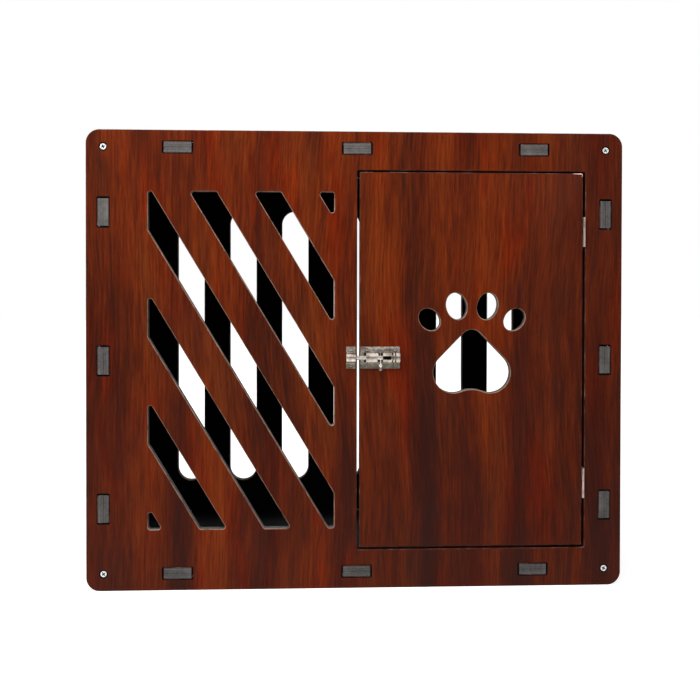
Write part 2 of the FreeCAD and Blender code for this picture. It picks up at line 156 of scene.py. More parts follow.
def mahogany_film(name, across, along, seed, dark_bands=(), shade_box=None):
    """Printed film: broad soft bands, faint streaks, fine threads and pores along the grain.

    Places are multiplied by waves a metre, few along the grain and many across it. Each dark band
    is a middle, a reach to both sides and a depth. The optional box is where the film is painted
    near-black, as the shade under the bolt's plate.
    """
    material, tree, shader, place = finish(name, specular=0.1)
    side, run = place.part(across), place.part(along)
    drift = tree.cloud(side * 2.6 + seed, run * 1.9, seed, 2.0) - 0.5
    sway = tree.cloud(side * 9.0, run * 4.0 + seed, seed, 1.0) - 0.5
    bent = side + drift * 0.05 + sway * 0.012
    band = tree.cloud(bent * 20.0, run * 2.2, seed, 3.0, 0.55).between(0.3, 0.7)
    streak = tree.cloud(bent * 75.0, run * 5.5, seed + 1.7, 3.0, 0.6).between(0.28, 0.72)
    thread = tree.cloud(bent * 345.0, run * 18.0, seed + 3.9, 3.0, 0.68).between(0.26, 0.74)
    shadow = 0.0
    for middle, reach, depth in dark_bands:
        away = tree.maths("ABSOLUTE", bent - middle)
        shadow = (1 - away.between(0.0, reach)) * depth + shadow
    if dark_bands:
        # The dark bands are made patchy and deeper towards the bottom; on the door's half of the sheet the
        # film is also darker towards the bottom and lighter towards the top.
        patchy = 0.35 + tree.cloud(side * 8.0, run * 5.0, seed + 9.1, 2.0) * 1.3
        deeper_low = 1.7 - run.between(0.1, 0.45) * 1.15
        door_half = side.between(-0.06, 0.06) * (0.05 - run.between(0.12, 0.42) * 0.07)
        shadow = shadow * patchy * deeper_low + door_half
    tone = band * 0.42 + streak * 0.19 + thread * 0.41 - shadow
    colour = tone.ramp([(0.0, paint(48, 17, 9)), (0.22, paint(64, 22, 8)), (0.42, paint(83, 28, 7)),
                        (0.6, paint(98, 35, 8)), (0.78, paint(112, 43, 10)), (0.96, paint(126, 51, 14))])
    dusk = tree.cloud(side * 7.0, run * 3.6, seed + 7.3, 3.0).between(0.46, 0.74)
    colour = colour.tint(dusk * 0.34 + shadow * 0.7, paint(60, 22, 15))
    hue = tree.cloud(bent * 24.0, run * 5.0, seed + 4.1, 3.0, 0.6)
    colour = colour.dyed(hue.between(0.5, 0.7), (1.14, 0.74, 0.45))
    colour = colour.dyed(1 - hue.between(0.3, 0.5), (0.84, 1.04, 1.4))
    pores = tree.cloud(bent * 900.0, run * 36.0, seed, 2.0, 0.6).between(0.58, 0.72)
    colour = colour.tint(pores * 0.58, paint(36, 13, 8))
    # Inside the box the film is painted near-black: painted shade under the bolt's plate, seen through its
    # slits.
    if shade_box:
        low, high = shade_box
        inside = 1.0
        for here, axis in ((side, across), (run, along)):
            inside = tree.maths("GREATER_THAN", here, low[axis]) * inside
            inside = tree.maths("LESS_THAN", here, high[axis]) * inside
        colour = colour.tint(inside * 0.94, paint(12, 10, 9))
    coat(tree, shader, colour, 0.34 + thread * 0.12 + pores * 0.12, thread * 0.6 - pores, 0.00006)
    return material


def black_film(name):
    """Plain black film with a fine moulded grain."""
    material, tree, shader, place = finish(name, specular=0.03)
    side, deep, up = place.part(0), place.part(1), place.part(2)
    cloudy = tree.cloud(side * 7.0, deep * 7.0, up * 7.0, 3.0)
    speckle = tree.cloud(side * 900.0, deep * 900.0, up * 900.0, 1.0)
    colour = (cloudy * 0.7 + speckle * 0.3).ramp([(0.3, paint(13, 12, 12)), (0.7, paint(24, 21, 21))])
    coat(tree, shader, colour, 0.6 + cloudy * 0.2, speckle, 0.00003)
    return material


def grey_core(name, through, low, thickness):
    """Bare edge of the board: pressed layers between two denser skins, roughened by the saw."""
    material, tree, shader, place = finish(name, specular=0.04)
    side, deep, up = place.part(0), place.part(1), place.part(2)
    layer = (place.part(through) - low) * (1.0 / thickness)
    fuzz = tree.cloud(side * 320.0, deep * 320.0, up * 320.0, 3.0, 0.65)
    blotch = tree.cloud(side * 45.0, deep * 45.0, up * 45.0, 2.0)
    wander = layer + (blotch - 0.5) * 0.05 + (fuzz - 0.5) * 0.03
    colour = wander.ramp([(0.0, paint(100, 96, 94)), (0.07, paint(60, 57, 56)), (0.13, paint(101, 97, 96)),
                          (0.3, paint(83, 80, 78)), (0.45, paint(91, 88, 86)), (0.5, paint(46, 45, 45)),
                          (0.55, paint(91, 88, 86)), (0.7, paint(82, 79, 77)), (0.87, paint(100, 96, 95)),
                          (0.93, paint(60, 57, 56)), (1.0, paint(98, 94, 92))])
    colour = colour.tint(fuzz.between(0.42, 0.72) * 0.5, paint(48, 46, 45))
    colour = colour.tint(blotch.between(0.45, 0.75) * 0.4, paint(128, 123, 121))
    coat(tree, shader, colour, 0.72 + fuzz * 0.2, fuzz, 0.00012)
    return material


def broken_arris(name, stops, chip=None):
    """Broken edge of the film, between film colour and bare core, with nicks; painted pale pink round a
    given place.
    """
    pale_reach = 0.0062
    plain_reach = 0.0074
    material, tree, shader, place = finish(name, specular=0.08)
    side, deep, up = place.part(0), place.part(1), place.part(2)
    patch = tree.cloud(side * 60.0, deep * 60.0, up * 60.0, 3.0, 0.6)
    nick = tree.cloud(side * 420.0, deep * 420.0, up * 420.0, 2.0)
    colour = patch.ramp(stops).tint(nick.between(0.5, 0.8) * 0.4, stops[0][1])
    if chip:
        away = tree.node("VectorMath", {"operation": "DISTANCE"}, {0: place, 1: chip}, output="Value")
        colour = colour.tint(1 - away.between(pale_reach, plain_reach), paint(214, 176, 164))
    coat(tree, shader, colour, 0.6 + patch * 0.2, nick, 0.00008)
    return material


def gap_shade_edge(name):
    """Sawn edge painted dull dark brown, as the shade deep in the door's gap."""
    material, tree, shader, place = finish(name, specular=0.02)
    side, deep, up = place.part(0), place.part(1), place.part(2)
    broad_mottle = tree.cloud(side * 90.0, deep * 200.0, up * 30.0, 3.0, 0.6)
    fibre = tree.cloud(side * 600.0, deep * 600.0, up * 120.0, 2.0)
    colour = (broad_mottle * 0.6 + fibre * 0.4).ramp([(0.3, paint(44, 14, 7)), (0.7, paint(84, 29, 13))])
    coat(tree, shader, colour, 0.85 + broad_mottle * 0.1, fibre, 0.00008)
    return material


def cad_copy(node):
    """A copy of a node's mesh, with its loose triangles joined."""
    cad = bmesh.new()
    cad.from_mesh(frame["nodes"][node].data)
    bmesh.ops.remove_doubles(cad, verts=cad.verts, dist=1e-6)
    return cad


def face_outlines(node, outward):
    """The outlines of a board's outer face, with the board on the left of each."""
    cad = cad_copy(node)
    top = max(v.co.dot(outward) for v in cad.verts)
    outer = {f for f in cad.faces
             if f.normal.dot(outward) > 0.999 and abs(f.calc_center_median().dot(outward) - top) < 1e-5}
    following = {}
    for face in outer:
        for corner in face.loops:
            if not any(f in outer and f is not face for f in corner.edge.link_faces):
                following[corner.vert] = corner.link_loop_next.vert
    outlines = []
    while following:
        vert = next(iter(following))
        outline = []
        while vert in following:
            outline.append(vert.co.copy())
            vert = following.pop(vert)
        outlines.append(outline)
    cad.free()
    return outlines


def routed(outline, radius=0.0016, steps=4):
    """A square-cornered slot with the corner radius that a router leaves."""
    rounded = []
    for before, corner, after in zip(outline[-1:] + outline[:-1], outline, outline[1:] + outline[:1]):
        back = (before - corner).normalized() * radius
        ahead = (after - corner).normalized() * radius
        for step in range(steps + 1):
            turn = math.pi / 2 * step / steps
            rounded.append(corner + back * (1 - math.sin(turn)) + ahead * (1 - math.cos(turn)))
    return rounded


def with_chip(outline):
    """An outline with two more points near the ends of its long edges, where a chip runs out."""
    shortest = 0.05
    chip_end = 0.0115
    sound_start = 0.0145
    points = []
    for start, end in zip(outline, outline[1:] + outline[:1]):
        points.append(start)
        if (end - start).length > shortest:
            step = (end - start).normalized()
            points += [start + step * chip_end, start + step * sound_start]
            points += [end - step * sound_start, end - step * chip_end]
    return points


def moved_in(outline, outward, widths):
    """An outline moved into the board by a width at each point, square to its edges."""
    moved = []
    neighbours = zip(outline[-1:] + outline[:-1], outline, outline[1:] + outline[:1], widths)
    for before, point, after, width in neighbours:
        first = outward.cross(point - before).normalized()
        second = outward.cross(after - point).normalized()
        moved.append(point + (first + second) * (width / (1 + first.dot(second))))
    return moved


def board(name, node, body, outward, film, edge=None, chip=None):
    """A board rebuilt from its outlines, with a broken arris on both faces and no pilot holes.

    An outline's reach, from its middle to its furthest point, tells what it is: a pilot hole, a
    screw's hole, a vent or paw window, the door or its opening, or the panel's own edge.
    """
    pilot_reach, screw_reach, vent_reach, door_reach = 0.003, 0.006, 0.27, 0.4
    arris, vent_arris, square_edge = 0.0007, 0.0009, 0.00005
    chip_width, chip_reach = 0.0014, 0.0066
    pit_depth, pit_foot, pit_sides = 0.0012, 0.0022, 40
    film_slot, black_slot, core_slot, bare_slot, edge_slot, gap_shade_slot = range(6)
    in_millimetres = 1000
    low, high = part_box(node)
    outward = Vector(outward)
    through = max(range(3), key=lambda axis: abs(outward[axis]))
    thickness = high[through] - low[through]
    up = Vector((0, 0, 1)) if through != 2 else Vector((0, 1, 0))
    right = up.cross(outward)
    made = bmesh.new()
    faces_outside, faces_inside = [], []

    def ring(points, depth):
        return [made.verts.new(p - outward * depth) for p in points]

    def strip(upper, lower, slot):
        for i in range(len(upper)):
            j = (i + 1) % len(upper)
            face = made.faces.new((upper[j], upper[i], lower[i], lower[j]))
            face.material_index = slot
            face.smooth = True

    for outline in face_outlines(node, outward):
        middle = sum(outline, Vector()) / len(outline)
        reach = max((p - middle).length for p in outline)
        if reach < pilot_reach:
            continue
        if reach < screw_reach:
            # The pit round a screw's head is painted black all over, as shade.
            turns = [2 * math.pi * step / pit_sides for step in range(pit_sides)]
            round_hole = [right * math.cos(-t) + up * math.sin(-t) for t in turns]
            rim = ring([middle + p * (reach + pit_depth) for p in round_hole], 0)
            wall = ring([middle + p * reach for p in round_hole], pit_depth)
            foot = ring([middle + p * pit_foot for p in round_hole], pit_depth + reach - pit_foot)
            strip(rim, wall, black_slot)
            strip(wall, foot, black_slot)
            made.faces.new(list(reversed(foot))).material_index = black_slot
            faces_outside.append(rim)
            continue
        tab_slot = len(outline) == 4
        vent = not tab_slot and reach < vent_reach and through == 1
        door_edge = through == 1 and vent_reach <= reach < door_reach
        if tab_slot:
            outline = routed(outline)
        broken = vent_arris if vent else arris
        broken_back = square_edge if tab_slot else broken
        widths = [broken] * len(outline)
        if chip and not vent:
            outline = with_chip(outline)
            chipped = [(p - Vector(chip)).length < chip_reach for p in outline]
            widths = [chip_width if bare else arris for bare in chipped]
        inner = moved_in(outline, outward, widths)
        inner_back = moved_in(outline, outward, [broken_back] * len(outline))
        rings = [ring(inner, 0), ring(outline, broken), ring(outline, thickness - broken_back),
                 ring(inner_back, thickness)]
        arris_slot = bare_slot if vent else edge_slot
        # The walls of the door and of its opening are painted dark brown, as the shade in the door's gap.
        wall_slot = gap_shade_slot if door_edge else core_slot
        # A tab's slot has its front arris and walls painted black, as the shade in the thin gap round the
        # tab.
        strip(rings[0], rings[1], black_slot if tab_slot else arris_slot)
        strip(rings[1], rings[2], black_slot if tab_slot else wall_slot)
        strip(rings[2], rings[3], arris_slot)
        faces_outside.append(rings[0])
        faces_inside.append(rings[3])
    sheets = ((faces_outside, film_slot, outward), (faces_inside, black_slot, -outward))
    for rims, slot, facing in sheets:
        flat = [[Vector((v.co.dot(right), v.co.dot(up), 0)) * in_millimetres for v in rim] for rim in rims]
        verts = [v for rim in rims for v in rim]
        for triangle in tessellate_polygon(flat):
            face = made.faces.new([verts[i] for i in triangle])
            face.normal_update()
            if face.normal.dot(facing) < 0:
                face.normal_flip()
            face.material_index = slot
    faced = (film_slot, black_slot)
    flat_verts = [v for rim in faces_outside + faces_inside for v in rim]
    flat_edges = [e for e in made.edges if all(f.material_index in faced for f in e.link_faces)]
    bmesh.ops.dissolve_limit(made, angle_limit=0.001, verts=flat_verts, edges=flat_edges)
    mesh = bpy.data.meshes.new(name)
    made.to_mesh(mesh)
    made.free()
    core = grey_core(name + "_core", through, low[through], thickness)
    for material in (film, black, core, bare_arris, edge or sealed_arris, gap_shade):
        mesh.materials.append(material)
    mesh.set_sharp_from_angle(angle=math.radians(30))
    piece = bpy.data.objects.new(name, mesh)
    bpy.context.scene.collection.objects.link(piece)
    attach(piece, body)
    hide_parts(node)


black = black_film("black_inside_film")
bare_stops = [(0.34, paint(98, 66, 52)), (0.46, paint(138, 108, 92)), (0.66, paint(158, 130, 112))]
sealed_stops = [(0.38, paint(50, 25, 19)), (0.52, paint(80, 51, 41)), (0.7, paint(126, 98, 86))]
gap_shade = gap_shade_edge("gap_shade_edge")
bare_arris = broken_arris("bare_arris", bare_stops)
sealed_arris = broken_arris("sealed_arris", sealed_stops)
level_film = mahogany_film("mahogany_level_film", 1, 0, 5.7)
board("floor_board", "floor_panel", "cabin", (0, 0, -1), level_film)


# Sides: two boards of the same make that stand on the floor, with the grain upright and three
# tabs towards the front and the back.

side_film = mahogany_film("mahogany_side_film", 1, 2, 8.4)
board("left_side_board", "left_side_panel", "cabin", (-1, 0, 0), side_film)
board("right_side_board", "right_side_panel", "cabin", (1, 0, 0), side_film)


# Roof: the floor's twin, a board with black film inside and mahogany film outside. It is laid on
# the sides with its grain running across, and its tabs go through the front and back panels.

board("roof_board", "roof_panel", "cabin", (0, 0, 1), level_film)


# Back panel: a board with rounded corners and seven upright round-ended vents, cut by a router
# that leaves a pale broken arris. The tabs of the other boards end flush in its slots.

back_film = mahogany_film("mahogany_back_film", 0, 2, 12.9)
board("back_board", "back_panel", "cabin", (0, 1, 0), back_film)


# Front panel: the same outline, with leaning vents on the left and the door's opening on the
# right. One sheet of film covers it and the door, so that the dark bands run on from one to the
# other. The sawn edges of the opening are painted dark brown, as the shade in the door's gap,
# and the film under the bolt's plate is painted near-black, as shade.

front_bands = [(-0.31, 0.05, 0.1), (-0.225, 0.036, 0.14), (-0.121, 0.028, 0.12),
               (-0.015, 0.024, 0.12), (0.09, 0.036, 0.15), (0.139, 0.026, 0.13),
               (0.22, 0.038, 0.18), (0.31, 0.036, 0.24), (0.35, 0.034, 0.26)]
front_film = mahogany_film("mahogany_front_film", 0, 2, 3.1, front_bands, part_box("latch_base"))
board("front_board", "front_panel", "cabin", (0, -1, 0), front_film)


# Corner screws: zinc-plated, countersunk, cross-headed. They go through the corners of the front and
# back panels into the roof and the floor, and sit a little below the face in a pit painted black as
# shade. Their cross recesses are painted near-black as shade.

def plated_steel(name, bright, dull, gloss, seed, metallic=1.0, shade_band=None):
    """Bright plating with faint cloudy tarnish and fine handling scratches.

    The optional band is an axis, the place on it where a painted shade starts and where it is full,
    its share there, and a colour: painted shade below the barrel or deep in a bore.
    """
    material, tree, shader, place = finish(name, metallic)
    side, deep, up = place.part(0), place.part(1), place.part(2)
    tarnish = tree.cloud(side * 130.0 + seed, deep * 130.0, up * 130.0, 3.0, 0.6)
    scratch = tree.cloud(side * 260.0, deep * 1900.0, up * 2600.0, 2.0, 0.6)
    colour = tarnish.ramp([(0.35, paint(*dull)), (0.62, paint(*bright))])
    if shade_band:
        axis, shade_start, shade_full, share, tone = shade_band
        shading = tree.node("MapRange", None,
                          {"Value": place.part(axis), "From Min": shade_start, "From Max": shade_full})
        colour = colour.tint(shading * share, paint(*tone))
    coat(tree, shader, colour, gloss + tarnish * 0.12 + scratch * 0.08, scratch * 0.5 + tarnish, 0.00001)
    return material


def near_black_shade(name):
    """Dull near-black finish, painted as the shade in recesses, bores, slits and gaps."""
    material, tree, shader, place = finish(name, specular=0.2)
    side, deep, up = place.part(0), place.part(1), place.part(2)
    mottle = tree.cloud(side * 700.0, deep * 700.0, up * 700.0, 3.0, 0.6)
    colour = mottle.ramp([(0.3, paint(9, 8, 8)), (0.7, paint(26, 23, 20))])
    coat(tree, shader, colour, 0.55 + mottle * 0.3, mottle, 0.00004)
    return material


def screw_tree():
    """A node tree that sets a cross-head screw on every point, head outwards along its own Z."""
    tree = bpy.data.node_groups.new("cross_head_screws", "GeometryNodeTree")
    tree.interface.new_socket("Places", in_out="INPUT", socket_type="NodeSocketGeometry")
    for name in ("Head Radius", "Shank Radius", "Length", "Sunk",
                 "Recess Reach", "Recess Width", "Recess Depth"):
        tree.interface.new_socket(name, in_out="INPUT", socket_type="NodeSocketFloat")
    tree.interface.new_socket("Aim", in_out="INPUT", socket_type="NodeSocketVector")
    tree.interface.new_socket("Plating", in_out="INPUT", socket_type="NodeSocketMaterial")
    tree.interface.new_socket("Recess Shade", in_out="INPUT", socket_type="NodeSocketMaterial")
    tree.interface.new_socket("Screws", in_out="OUTPUT", socket_type="NodeSocketGeometry")
    given = tree.nodes.new("NodeGroupInput").outputs

    def node(kind, settings=None, inputs=None, output=0):
        made = tree.nodes.new(kind)
        for key, value in (settings or {}).items():
            setattr(made, key, value)
        for key, values in (inputs or {}).items():
            for value in values if isinstance(values, list) else [values]:
                if isinstance(value, bpy.types.NodeSocket):
                    tree.links.new(value, made.inputs[key])
                else:
                    made.inputs[key].default_value = value
        return made.outputs[output]

    def maths(operation, first, second):
        return node("ShaderNodeMath", {"operation": operation}, {0: first, 1: second})

    def vector(x, y, z):
        return node("ShaderNodeCombineXYZ", None, {0: x, 1: y, 2: z})

    def shifted(mesh, z, turn=0.0):
        return node("GeometryNodeTransform", None,
                    {"Geometry": mesh, "Translation": vector(0.0, 0.0, z), "Rotation": (0.0, 0.0, turn)})

    def coated(mesh, material, selection=True):
        return node("GeometryNodeSetMaterial", None,
                    {"Geometry": mesh, "Material": material, "Selection": selection})

    head, shank, length = given["Head Radius"], given["Shank Radius"], given["Length"]
    sink = maths("SUBTRACT", head, shank)
    cone = node("GeometryNodeMeshCone", None,
                {"Vertices": 40, "Radius Top": head, "Radius Bottom": shank, "Depth": sink})
    plain = maths("SUBTRACT", length, maths("MULTIPLY", shank, 2.0))
    stem = node("GeometryNodeMeshCylinder", None, {"Vertices": 20, "Radius": shank, "Depth": plain})
    point = node("GeometryNodeMeshCone", None,
                 {"Vertices": 20, "Radius Top": maths("MULTIPLY", shank, 0.98), "Radius Bottom": 0.0001,
                  "Depth": maths("MULTIPLY", shank, 2.2)})
    stem_middle = maths("MULTIPLY", plain, -0.5)
    body = node("GeometryNodeMeshBoolean", {"operation": "UNION", "solver": "EXACT"},
                {"Mesh 2": [shifted(cone, maths("MULTIPLY", sink, -1.0)),
                            shifted(stem, maths("SUBTRACT", stem_middle, 0.0002)),
                            shifted(point, maths("MULTIPLY", length, -1.0))]})
    recess_depth = given["Recess Depth"]
    slot_size = vector(given["Recess Reach"], given["Recess Width"], maths("MULTIPLY", recess_depth, 2.0))
    slot = coated(node("GeometryNodeMeshCube", None, {"Size": slot_size}), given["Recess Shade"])
    well = node("GeometryNodeMeshCone", None,
                {"Vertices": 8, "Radius Top": maths("MULTIPLY", given["Recess Width"], 1.1),
                 "Radius Bottom": maths("MULTIPLY", given["Recess Width"], 0.3),
                 "Depth": maths("MULTIPLY", recess_depth, 2.4)})
    well = shifted(coated(well, given["Recess Shade"]), maths("MULTIPLY", recess_depth, -1.5))
    cross_slot = shifted(slot, 0.0, math.pi / 2)
    screw = node("GeometryNodeMeshBoolean", {"operation": "DIFFERENCE", "solver": "EXACT"},
                 {"Mesh 1": coated(body, given["Plating"]), "Mesh 2": [slot, cross_slot, well]})
    screw = shifted(screw, maths("MULTIPLY", given["Sunk"], -1.0))
    turn = node("FunctionNodeRandomValue", {"data_type": "FLOAT"},
                {2: 0.0, 3: math.pi, "Seed": 4}, output=1)
    placed = node("GeometryNodeInstanceOnPoints", None,
                  {"Points": given["Places"], "Instance": screw, "Rotation": given["Aim"]})
    placed = node("GeometryNodeRotateInstances", None,
                  {"Instances": placed, "Rotation": vector(0.0, 0.0, turn)})
    real = node("GeometryNodeRealizeInstances", None, {"Geometry": placed})
    recess = node("GeometryNodeMaterialSelection", None, {"Material": given["Recess Shade"]})
    outside = node("FunctionNodeBooleanMath", {"operation": "NOT"}, {0: recess})
    tree.links.new(coated(real, given["Plating"], outside), tree.nodes.new("NodeGroupOutput").inputs[0])
    return tree


def softened(piece, width):
    """Break the sharp edges of a metal piece."""
    edge = piece.modifiers.new("broken_edges", "BEVEL")
    edge.width = width
    edge.segments = 2
    edge.limit_method = "ANGLE"
    edge.angle_limit = math.radians(35)
    edge.use_clamp_overlap = True
    edge.harden_normals = True


def screws(name, node, body, inward, sizes, plating):
    """The screws of one node, set where the node has its heads."""
    one_head = 0.009
    edge_share = 0.05
    inward = Vector(inward)
    cad = cad_copy(node)
    top = min(v.co.dot(inward) for v in cad.verts)
    heads = [v.co.copy() for v in cad.verts if abs(v.co.dot(inward) - top) < 1e-5]
    cad.free()
    groups = []
    for place in heads:
        near = next((g for g in groups if (g[0] - place).length < one_head), None)
        if near is None:
            groups.append([place])
        else:
            near.append(place)
    places = bpy.data.meshes.new(name)
    places.from_pydata([sum(group, Vector()) / len(group) for group in groups], [], [])
    piece = bpy.data.objects.new(name, places)
    bpy.context.scene.collection.objects.link(piece)
    setting = piece.modifiers.new("set_screws", "NODES")
    setting.node_group = cross_heads
    values = dict(sizes)
    values["Aim"] = (-inward).to_track_quat("Z", "Y").to_euler()[:]
    values["Plating"] = plating
    values["Recess Shade"] = shade_finish
    for item in cross_heads.interface.items_tree:
        if item.in_out == "INPUT" and item.name in values:
            setting[item.identifier] = values[item.name]
    graph = bpy.context.evaluated_depsgraph_get()
    made = bpy.data.meshes.new_from_object(piece.evaluated_get(graph))
    piece.modifiers.remove(setting)
    piece.data = made
    made.name = name
    made.shade_smooth()
    made.set_sharp_from_angle(angle=math.radians(35))
    softened(piece, sizes["Head Radius"] * edge_share)
    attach(piece, body)
    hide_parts(node)


cross_heads = screw_tree()
# The near-black finish is painted shade for deep recesses and gaps on the metal parts.
shade_finish = near_black_shade("near_black_shade")
screw_plating = plated_steel("zinc_plated_screw", (250, 250, 248), (228, 228, 226), 0.46, 2.0,
                             metallic=0.4)
corner_screw = {"Head Radius": 0.0038, "Shank Radius": 0.002, "Length": 0.044, "Sunk": 0.0006,
                "Recess Reach": 0.005, "Recess Width": 0.0014, "Recess Depth": 0.0012}
screws("front_corner_screw_set", "front_corner_screws", "cabin", (0, 1, 0), corner_screw, screw_plating)
screws("back_corner_screw_set", "back_corner_screws", "cabin", (0, -1, 0), corner_screw, screw_plating)


# Butt hinges in the gap at the right of the door: thin plated leaves on the edges of the door and
# of its opening, rolled round a steel pin that stands just proud of the front.

def smooth_copy(name, node, body, material, width, shade_painted=None):
    """A CAD piece with its triangles joined into faces, its edges broken and some faces painted near-black
    as shade.
    """
    cad = cad_copy(node)
    bmesh.ops.dissolve_limit(cad, angle_limit=math.radians(1), verts=cad.verts, edges=cad.edges,
                             delimit={"NORMAL"})
    for face in cad.faces:
        face.material_index = int(bool(shade_painted and shade_painted(face)))
    mesh = bpy.data.meshes.new(name)
    cad.to_mesh(mesh)
    cad.free()
    mesh.materials.append(material)
    if shade_painted:
        mesh.materials.append(shade_finish)
    mesh.shade_smooth()
    mesh.set_sharp_from_angle(angle=math.radians(35))
    piece = bpy.data.objects.new(name, mesh)
    bpy.context.scene.collection.objects.link(piece)
    softened(piece, width)
    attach(piece, body)
    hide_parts(node)


def joint_place(name):
    """A point on the axis of a joint."""
    joints = frame["record"]["behaviour"]["joints"]
    return Vector(next(joint["pos_m"] for joint in joints if joint["name"] == name))


def beside_gap(face):
    """Whether a face is on the flank of a knuckle, where the shade in the gap is painted near-black."""
    knuckle_radius = 0.0018
    place = face.calc_center_median() - hinge_axis
    return math.hypot(place.x, place.y) < knuckle_radius and abs(face.normal.x) > 0.72


hinge_axis = joint_place("door_hinge")
hinge_edge, pin_edge = 0.0003, 0.0002
hinge_plating = plated_steel("zinc_plated_hinge", (228, 200, 190), (188, 158, 148), 0.36, 5.0)
hinge_screw = {"Head Radius": 0.00185, "Shank Radius": 0.00105, "Length": 0.0135, "Sunk": 0.00005,
               "Recess Reach": 0.0022, "Recess Width": 0.00055, "Recess Depth": 0.0005}
for place in ("upper", "lower"):
    hinge = place + "_hinge_"
    smooth_copy(hinge + "frame_leaf_piece", hinge + "frame_leaf", "cabin", hinge_plating,
                hinge_edge, beside_gap)
    smooth_copy(hinge + "door_leaf_piece", hinge + "door_leaf", "door", hinge_plating,
                hinge_edge, beside_gap)
    smooth_copy(hinge + "pin_piece", hinge + "pin", "cabin", hinge_plating, pin_edge)
    screws(hinge + "frame_screw_set", hinge + "frame_screws", "cabin", (1, 0, 0),
           hinge_screw, screw_plating)
    screws(hinge + "door_screw_set", hinge + "door_screws", "door", (-1, 0, 0),
           hinge_screw, screw_plating)


# Door: a board cut from the front panel's sheet, with a paw-shaped window and edges painted dark
# brown, as the shade in its gap. Near the upper corner on the hinge side its arris is cut wider
# and painted pale pink.

door_low, door_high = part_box("door_panel")
chip_from_corner = 0.006
chip_place = (door_high.x - chip_from_corner, door_low.y, door_high.z)
door_arris = broken_arris("door_arris", sealed_stops, chip_place)
board("door_board", "door_panel", "door", (0, -1, 0), front_film, door_arris, chip_place)


# Barrel bolt, plate: nickel-plated steel on the door, with the guides pressed up out of it and slits
# left beside them. Four small screws hold it. The bore, the slits and the screw seats are painted
# near-black as shade, and the plate is painted darker and olive below the rod, as the barrel's shadow.

def screw_seat(face):
    """Whether a face is the sunk seat of a small screw."""
    seat_depth = 0.0043
    behind_rod = face.calc_center_median().y - rod_axis.y
    return behind_rod > seat_depth and 0.3 < abs(face.normal.y) < 0.95


def takes_painted_shade(face):
    """Whether a face of the plate is in the rod's bore, in a slit beside a guide or under a screw: these
    are painted near-black as shade.
    """
    bore_reach = 0.0028
    plate_depth, slit_start, slit_end = 0.0045, 0.0026, 0.0065
    place = face.calc_center_median() - rod_axis
    in_bore = math.hypot(place.y, place.z) < bore_reach and abs(face.normal.x) < 0.5
    beside_guide = place.y > plate_depth and slit_start < abs(place.z) < slit_end
    in_slit = beside_guide and abs(face.normal.y) < 0.5
    return in_bore or in_slit or screw_seat(face)


rod_axis = joint_place("knob_turn")
latch_edge = 0.0002
# Below the rod the plate and keeper are painted darker and olive, as the barrel's shadow.
barrel_shadow = (2, rod_axis.z - 0.004, rod_axis.z - 0.009, 0.68, (118, 116, 92))
latch_plating = plated_steel("nickel_plated_latch", (234, 221, 209), (156, 142, 128), 0.16, 9.0,
                             shade_band=barrel_shadow)
latch_screw_plating = plated_steel("nickel_plated_screw", (246, 232, 214), (214, 196, 178), 0.34, 17.0,
                                   metallic=0.3)
latch_screw = {"Head Radius": 0.0016, "Shank Radius": 0.0011, "Length": 0.0125, "Sunk": 0.0,
               "Recess Reach": 0.0024, "Recess Width": 0.0009, "Recess Depth": 0.0007}
smooth_copy("latch_base_piece", "latch_base", "door", latch_plating, latch_edge,
            takes_painted_shade)
screws("latch_base_screw_set", "latch_base_screws", "door", (0, 1, 0),
       latch_screw, latch_screw_plating)


# Barrel bolt, keeper: a bent strap of the same steel on the panel, open underneath, that the end of
# the rod goes into. Two small screws hold it.

# The keeper's screw seats are painted near-black as shade, and it too is painted darker below the rod, as
# shadow.
smooth_copy("latch_keeper_piece", "latch_keeper", "cabin", latch_plating, latch_edge,
            screw_seat)
screws("latch_keeper_screw_set", "latch_keeper_screws", "cabin", (0, 1, 0),
       latch_screw, latch_screw_plating)


# Barrel bolt, rod and knob: a polished round rod that slides in the guides, and a knob turned in one
# piece with its stem, collar and round grip, screwed into the rod.

rod_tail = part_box("latch_bolt_rod")[1].x
# The rod's end is painted near-black, as the shade deep in the guide's bore.
tail_shade = (0, rod_tail - 0.0016, rod_tail - 0.0013, 0.92, (24, 20, 18))
rod_plating = plated_steel("nickel_plated_rod", (226, 220, 210), (188, 180, 168), 0.04, 11.0,
                           shade_band=tail_shade)
smooth_copy("latch_rod_piece", "latch_bolt_rod", "bolt", rod_plating, latch_edge)
# The knob is one piece of nickel: its grip is painted darker and browner, as the reflection of the dark
# surroundings and the brown door, and its stem and collar near-white, as a highlight.
grip_plating_shaded = plated_steel("nickel_grip_painted_shade", (168, 154, 144), (112, 100, 92), 0.16, 13.0)
collar_plating_lit = plated_steel("nickel_collar_painted_highlight", (252, 248, 242), (226, 220, 212), 0.06, 15.0)


def bead(radius, half_height, middle, degrees):
    """Part of a rounded profile, in millimetres out from the knob's axis and down from the rod's."""
    turns = [math.radians(degree) for degree in degrees]
    return [(radius * math.sin(turn), middle - half_height * math.cos(turn)) for turn in turns]


millimetre = 0.001
stem = [(0.0, 2.45), (1.1, 2.45), (1.1, 7.0)]
collar = bead(2.8, 2.6, 9.8, range(26, 151, 12))
neck = [(1.35, 12.5), (1.35, 12.9)]
neck_depth = 0.0127
grip = bead(2.6, 2.3, 14.9, range(34, 181, 12))
foot = [(0.0, 17.2)]
turned = bmesh.new()
profile = [turned.verts.new(rod_axis + Vector((out, 0, -down)) * millimetre)
           for out, down in stem + collar + neck + grip + foot]
lines = [turned.edges.new(pair) for pair in zip(profile, profile[1:])]
bmesh.ops.spin(turned, geom=profile + lines, cent=rod_axis, axis=(0, 0, 1), angle=2 * math.pi, steps=32,
               use_merge=True)
bmesh.ops.remove_doubles(turned, verts=turned.verts, dist=1e-6)
bmesh.ops.recalc_face_normals(turned, faces=turned.faces)
